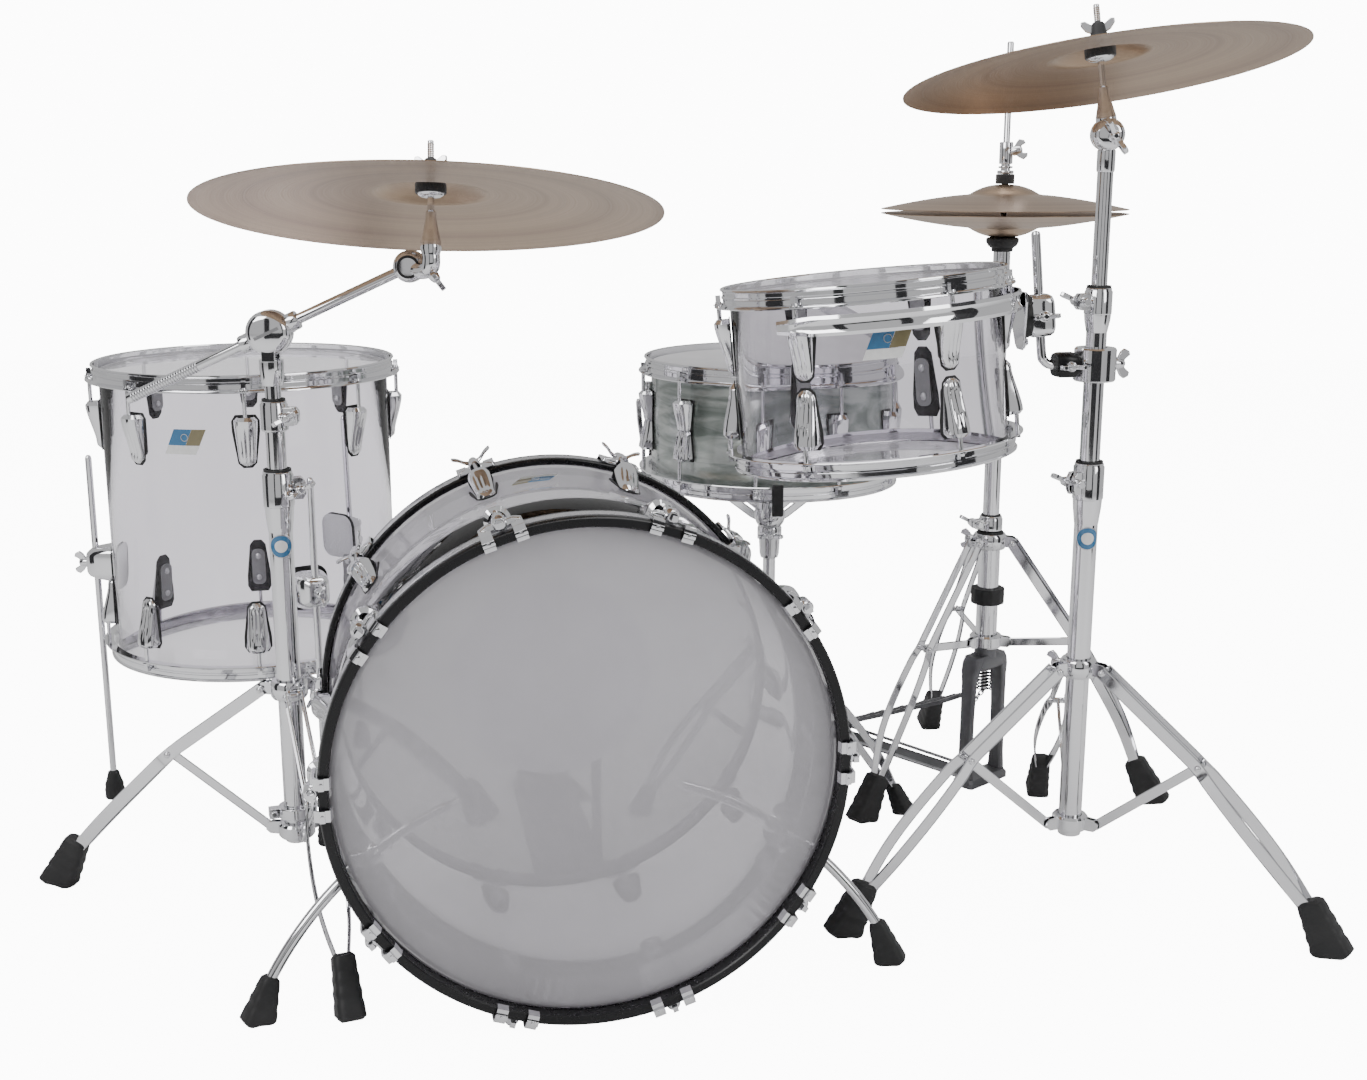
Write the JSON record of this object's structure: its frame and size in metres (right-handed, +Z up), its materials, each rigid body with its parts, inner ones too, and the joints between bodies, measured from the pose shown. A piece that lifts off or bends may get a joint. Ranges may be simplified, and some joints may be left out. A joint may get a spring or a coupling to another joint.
{
  "type": "acoustic drum kit",
  "caption": "Acoustic drum kit with clear shells: bass drum, floor tom, mounted tom, snare on a stand, hi-hat, and straight and boom cymbal stands with folding feet.",
  "frame": {"origin": "on the floor under the middle of the kit's bounding box", "axes": "+X to the kit's right as seen from the front, -Y towards the audience, +Z up"},
  "size_m": [1.7167, 1.1106, 1.1382],
  "materials": {
    "chrome": "polished chrome plate on steel",
    "snare_steel": "lacquered metal shell",
    "clear_acrylic": "clear polished acrylic",
    "drumhead_film": "hazy coated film",
    "black_lacquer": "gloss black lacquer on maple hoop",
    "grey_casting": "dark grey textured casting",
    "cymbal_bronze": "lathed bronze"
  },
  "bodies": {
    "frame": {"bass_shell": "clear_acrylic", "bass_front_hoop": "black_lacquer", "bass_rear_hoop": "black_lacquer", "bass_front_head": "drumhead_film", "bass_rear_head": "drumhead_film", "pedal_frame": "grey_casting", "floor_tom_shell": "clear_acrylic", "floor_tom_top_hoop": "chrome", "floor_tom_bottom_hoop": "chrome", "floor_tom_top_head": "drumhead_film", "floor_tom_bottom_head": "drumhead_film", "crash_lower_tube": "chrome", "boom_tripod": "chrome", "boom_lower_tube": "chrome", "snare_stand_tripod": "chrome", "hihat_tripod": "chrome", "hihat_frame": "grey_casting", "hihat_upper_tube": "chrome", "hihat_bottom_cymbal": "cymbal_bronze"},
    "spur_left": {"bass_spur_left": "chrome"},
    "spur_right": {"bass_spur_right": "chrome"},
    "bass_footboard": {"pedal_footboard": "grey_casting"},
    "beater": {"pedal_beater": "chrome"},
    "tom_leg_a": {"floor_tom_leg_a": "chrome"},
    "tom_leg_b": {"floor_tom_leg_b": "chrome"},
    "tom_leg_c": {"floor_tom_leg_c": "chrome"},
    "clamp": {"tom_clamp": "chrome"},
    "arm": {"tom_arm": "chrome"},
    "rack_tom": {"rack_tom_shell": "clear_acrylic", "rack_tom_top_hoop": "chrome", "rack_tom_bottom_hoop": "chrome", "rack_tom_top_head": "drumhead_film", "rack_tom_bottom_head": "drumhead_film", "rack_tom_hanger": "chrome"},
    "crash_upper": {"crash_upper_tube": "chrome"},
    "crash_tilter": {"crash_tilter": "chrome"},
    "crash_cymbal": {"crash_cymbal": "cymbal_bronze"},
    "crash_collar": {"crash_collar": "chrome"},
    "crash_leg_a": {"crash_leg_a": "chrome"},
    "crash_leg_b": {"crash_leg_b": "chrome"},
    "crash_leg_c": {"crash_leg_c": "chrome"},
    "crash_stay_a": {"crash_stay_a": "chrome"},
    "crash_stay_b": {"crash_stay_b": "chrome"},
    "crash_stay_c": {"crash_stay_c": "chrome"},
    "boom_upper": {"boom_upper_tube": "chrome"},
    "boom_knuckle": {"boom_knuckle": "chrome"},
    "boom_arm": {"boom_arm": "chrome"},
    "ride_tilter": {"ride_tilter": "chrome"},
    "ride_cymbal": {"ride_cymbal": "cymbal_bronze"},
    "snare_upper": {"snare_stand_upper_tube": "chrome"},
    "snare_drum": {"snare_basket": "chrome", "snare_shell": "snare_steel", "snare_top_hoop": "chrome", "snare_bottom_hoop": "chrome", "snare_top_head": "drumhead_film", "snare_bottom_head": "drumhead_film"},
    "throw_lever": {"snare_throw_lever": "chrome"},
    "hat_footboard": {"hihat_footboard": "grey_casting"},
    "hat_rod": {"hihat_rod": "chrome", "hihat_top_cymbal": "cymbal_bronze"}
  },
  "joints": [
    {"name": "bass_pedal_press", "type": "hinge", "parent": "frame", "child": "bass_footboard", "pos_m": [-0.18697, 0.22246, 0.024], "axis": [0.9808, 0.1949, 0], "range_deg": [0, 8], "stiffness_Nm_per_rad": 6, "springref_deg": -17.19},
    {"name": "beater_swing", "type": "hinge", "parent": "frame", "child": "beater", "pos_m": [-0.13045, -0.06198, 0.195], "axis": [0.9808, 0.1949, 0], "range_deg": [0, 44]},
    {"name": "spur_left_retract", "type": "hinge", "parent": "frame", "child": "spur_left", "pos_m": [-0.18616, -0.3152, -0.14], "axis": [-0.5481, 0.8364, 0], "range_deg": [0, 5]},
    {"name": "spur_right_retract", "type": "hinge", "parent": "frame", "child": "spur_right", "pos_m": [-0.03119, -0.2844, -0.14], "axis": [-0.1867, -0.9824, 0], "range_deg": [0, 5]},
    {"name": "tom_leg_a_slide", "type": "slide", "parent": "frame", "child": "tom_leg_a", "axis": [0, 0, 1], "range_m": [0, 0.06]},
    {"name": "tom_leg_b_slide", "type": "slide", "parent": "frame", "child": "tom_leg_b", "axis": [0, 0, 1], "range_m": [0, 0.06]},
    {"name": "tom_leg_c_slide", "type": "slide", "parent": "frame", "child": "tom_leg_c", "axis": [0, 0, 1], "range_m": [0, 0.06]},
    {"name": "clamp_swing", "type": "hinge", "parent": "frame", "child": "clamp", "pos_m": [0.5448, -0.1304, 0], "axis": [0, 0, 1], "range_deg": [-1.5, 12]},
    {"name": "tom_tilt", "type": "hinge", "parent": "clamp", "child": "arm", "pos_m": [0.47601, -0.14291, 0.70492], "axis": [0.9839, 0.1789, 0], "range_deg": [-6, 6]},
    {"name": "tom_swivel", "type": "hinge", "parent": "arm", "child": "rack_tom", "pos_m": [0.46414, -0.14007, 0.83535], "axis": [-0.0906, 0.0216, 0.9957], "range_deg": [-3, 20]},
    {"name": "crash_height", "type": "slide", "parent": "frame", "child": "crash_upper", "axis": [0, 0, 1], "range_m": [-0.05, 0.1]},
    {"name": "crash_tilt", "type": "hinge", "parent": "crash_upper", "child": "crash_tilter", "pos_m": [0.5448, -0.1304, 0.984], "axis": [0, 1, 0], "range_deg": [-12, 12]},
    {"name": "crash_swing", "type": "hinge", "parent": "crash_tilter", "child": "crash_cymbal", "pos_m": [0.53312, -0.11478, 1.09022], "axis": [0.9941, 0.0079, 0.1082], "range_deg": [-5, 5], "stiffness_Nm_per_rad": 8},
    {"name": "tripod_collar", "type": "slide", "parent": "frame", "child": "crash_collar", "axis": [0, 0, 1], "range_m": [0, 0.1]},
    {"name": "leg_a_fold", "type": "hinge", "parent": "crash_collar", "child": "crash_leg_a", "pos_m": [0.548, -0.09655, 0.31], "axis": [-0.9956, 0.0941, 0], "range_deg": [0, 28.6]},
    {"name": "leg_b_fold", "type": "hinge", "parent": "crash_collar", "child": "crash_leg_b", "pos_m": [0.51389, -0.14455, 0.31], "axis": [0.4163, -0.9092, 0], "range_deg": [0, 28.6]},
    {"name": "leg_c_fold", "type": "hinge", "parent": "crash_collar", "child": "crash_leg_c", "pos_m": [0.57251, -0.1501, 0.31], "axis": [0.5793, 0.8151, 0], "range_deg": [0, 28.6]},
    {"name": "stay_a_fold", "type": "hinge", "parent": "frame", "child": "crash_stay_a", "pos_m": [0.548, -0.09655, 0.096], "axis": [0.9956, -0.0941, 0], "range_deg": [0, 27]},
    {"name": "stay_b_fold", "type": "hinge", "parent": "frame", "child": "crash_stay_b", "pos_m": [0.51389, -0.14455, 0.096], "axis": [-0.4163, 0.9092, 0], "range_deg": [0, 27]},
    {"name": "stay_c_fold", "type": "hinge", "parent": "frame", "child": "crash_stay_c", "pos_m": [0.57251, -0.1501, 0.096], "axis": [-0.5793, -0.8151, 0], "range_deg": [0, 27]},
    {"name": "boom_height", "type": "slide", "parent": "frame", "child": "boom_upper", "axis": [0, 0, 1], "range_m": [-0.04, 0.1]},
    {"name": "boom_tilt", "type": "hinge", "parent": "boom_upper", "child": "boom_knuckle", "pos_m": [-0.4772, -0.1664, 0.748], "axis": [0, -1, 0], "range_deg": [-12, 15]},
    {"name": "boom_slide", "type": "slide", "parent": "boom_knuckle", "child": "boom_arm", "axis": [0.9092, 0, 0.4163], "range_m": [-0.05, 0.04]},
    {"name": "ride_tilt", "type": "hinge", "parent": "boom_arm", "child": "ride_tilter", "pos_m": [-0.30217, -0.1664, 0.82813], "axis": [0, 1, 0], "range_deg": [-10, 10]},
    {"name": "ride_swing", "type": "hinge", "parent": "ride_tilter", "child": "ride_cymbal", "pos_m": [-0.27217, -0.17622, 0.92994], "axis": [1, 0, 0], "range_deg": [-5, 5], "stiffness_Nm_per_rad": 8},
    {"name": "snare_height", "type": "slide", "parent": "frame", "child": "snare_upper", "axis": [0, 0, 1], "range_m": [-0.03, 0.05]},
    {"name": "basket_tilt", "type": "hinge", "parent": "snare_upper", "child": "snare_drum", "pos_m": [0.1598, 0.2436, 0.4237], "axis": [1, 0, 0], "range_deg": [-6, 1]},
    {"name": "throw_lever_turn", "type": "hinge", "parent": "snare_drum", "child": "throw_lever", "pos_m": [-0.02928, 0.22706, 0.55], "axis": [0.0872, -0.9962, 0], "range_deg": [0, 60]},
    {"name": "hat_pedal_press", "type": "hinge", "parent": "frame", "child": "hat_footboard", "pos_m": [0.29661, 0.48035, 0.02], "axis": [0.7314, 0.682, 0], "range_deg": [0, 1], "stiffness_Nm_per_rad": 25, "springref_deg": -22.92},
    {"name": "hat_rod_slide", "type": "slide", "parent": "frame", "child": "hat_rod", "axis": [0, 0, -1], "range_m": [0, 0.0036]}
  ],
  "couplings": [
    {"joint": "beater_swing", "follows": "bass_pedal_press", "ratio": 5.45},
    {"joint": "hat_rod_slide", "follows": "hat_pedal_press", "m_per_rad": 0.2},
    {"joint": "leg_a_fold", "follows": "tripod_collar", "rad_per_m": 4.95},
    {"joint": "stay_a_fold", "follows": "tripod_collar", "rad_per_m": 4.66},
    {"joint": "leg_b_fold", "follows": "tripod_collar", "rad_per_m": 4.95},
    {"joint": "stay_b_fold", "follows": "tripod_collar", "rad_per_m": 4.66},
    {"joint": "leg_c_fold", "follows": "tripod_collar", "rad_per_m": 4.95},
    {"joint": "stay_c_fold", "follows": "tripod_collar", "rad_per_m": 4.66}
  ]
}
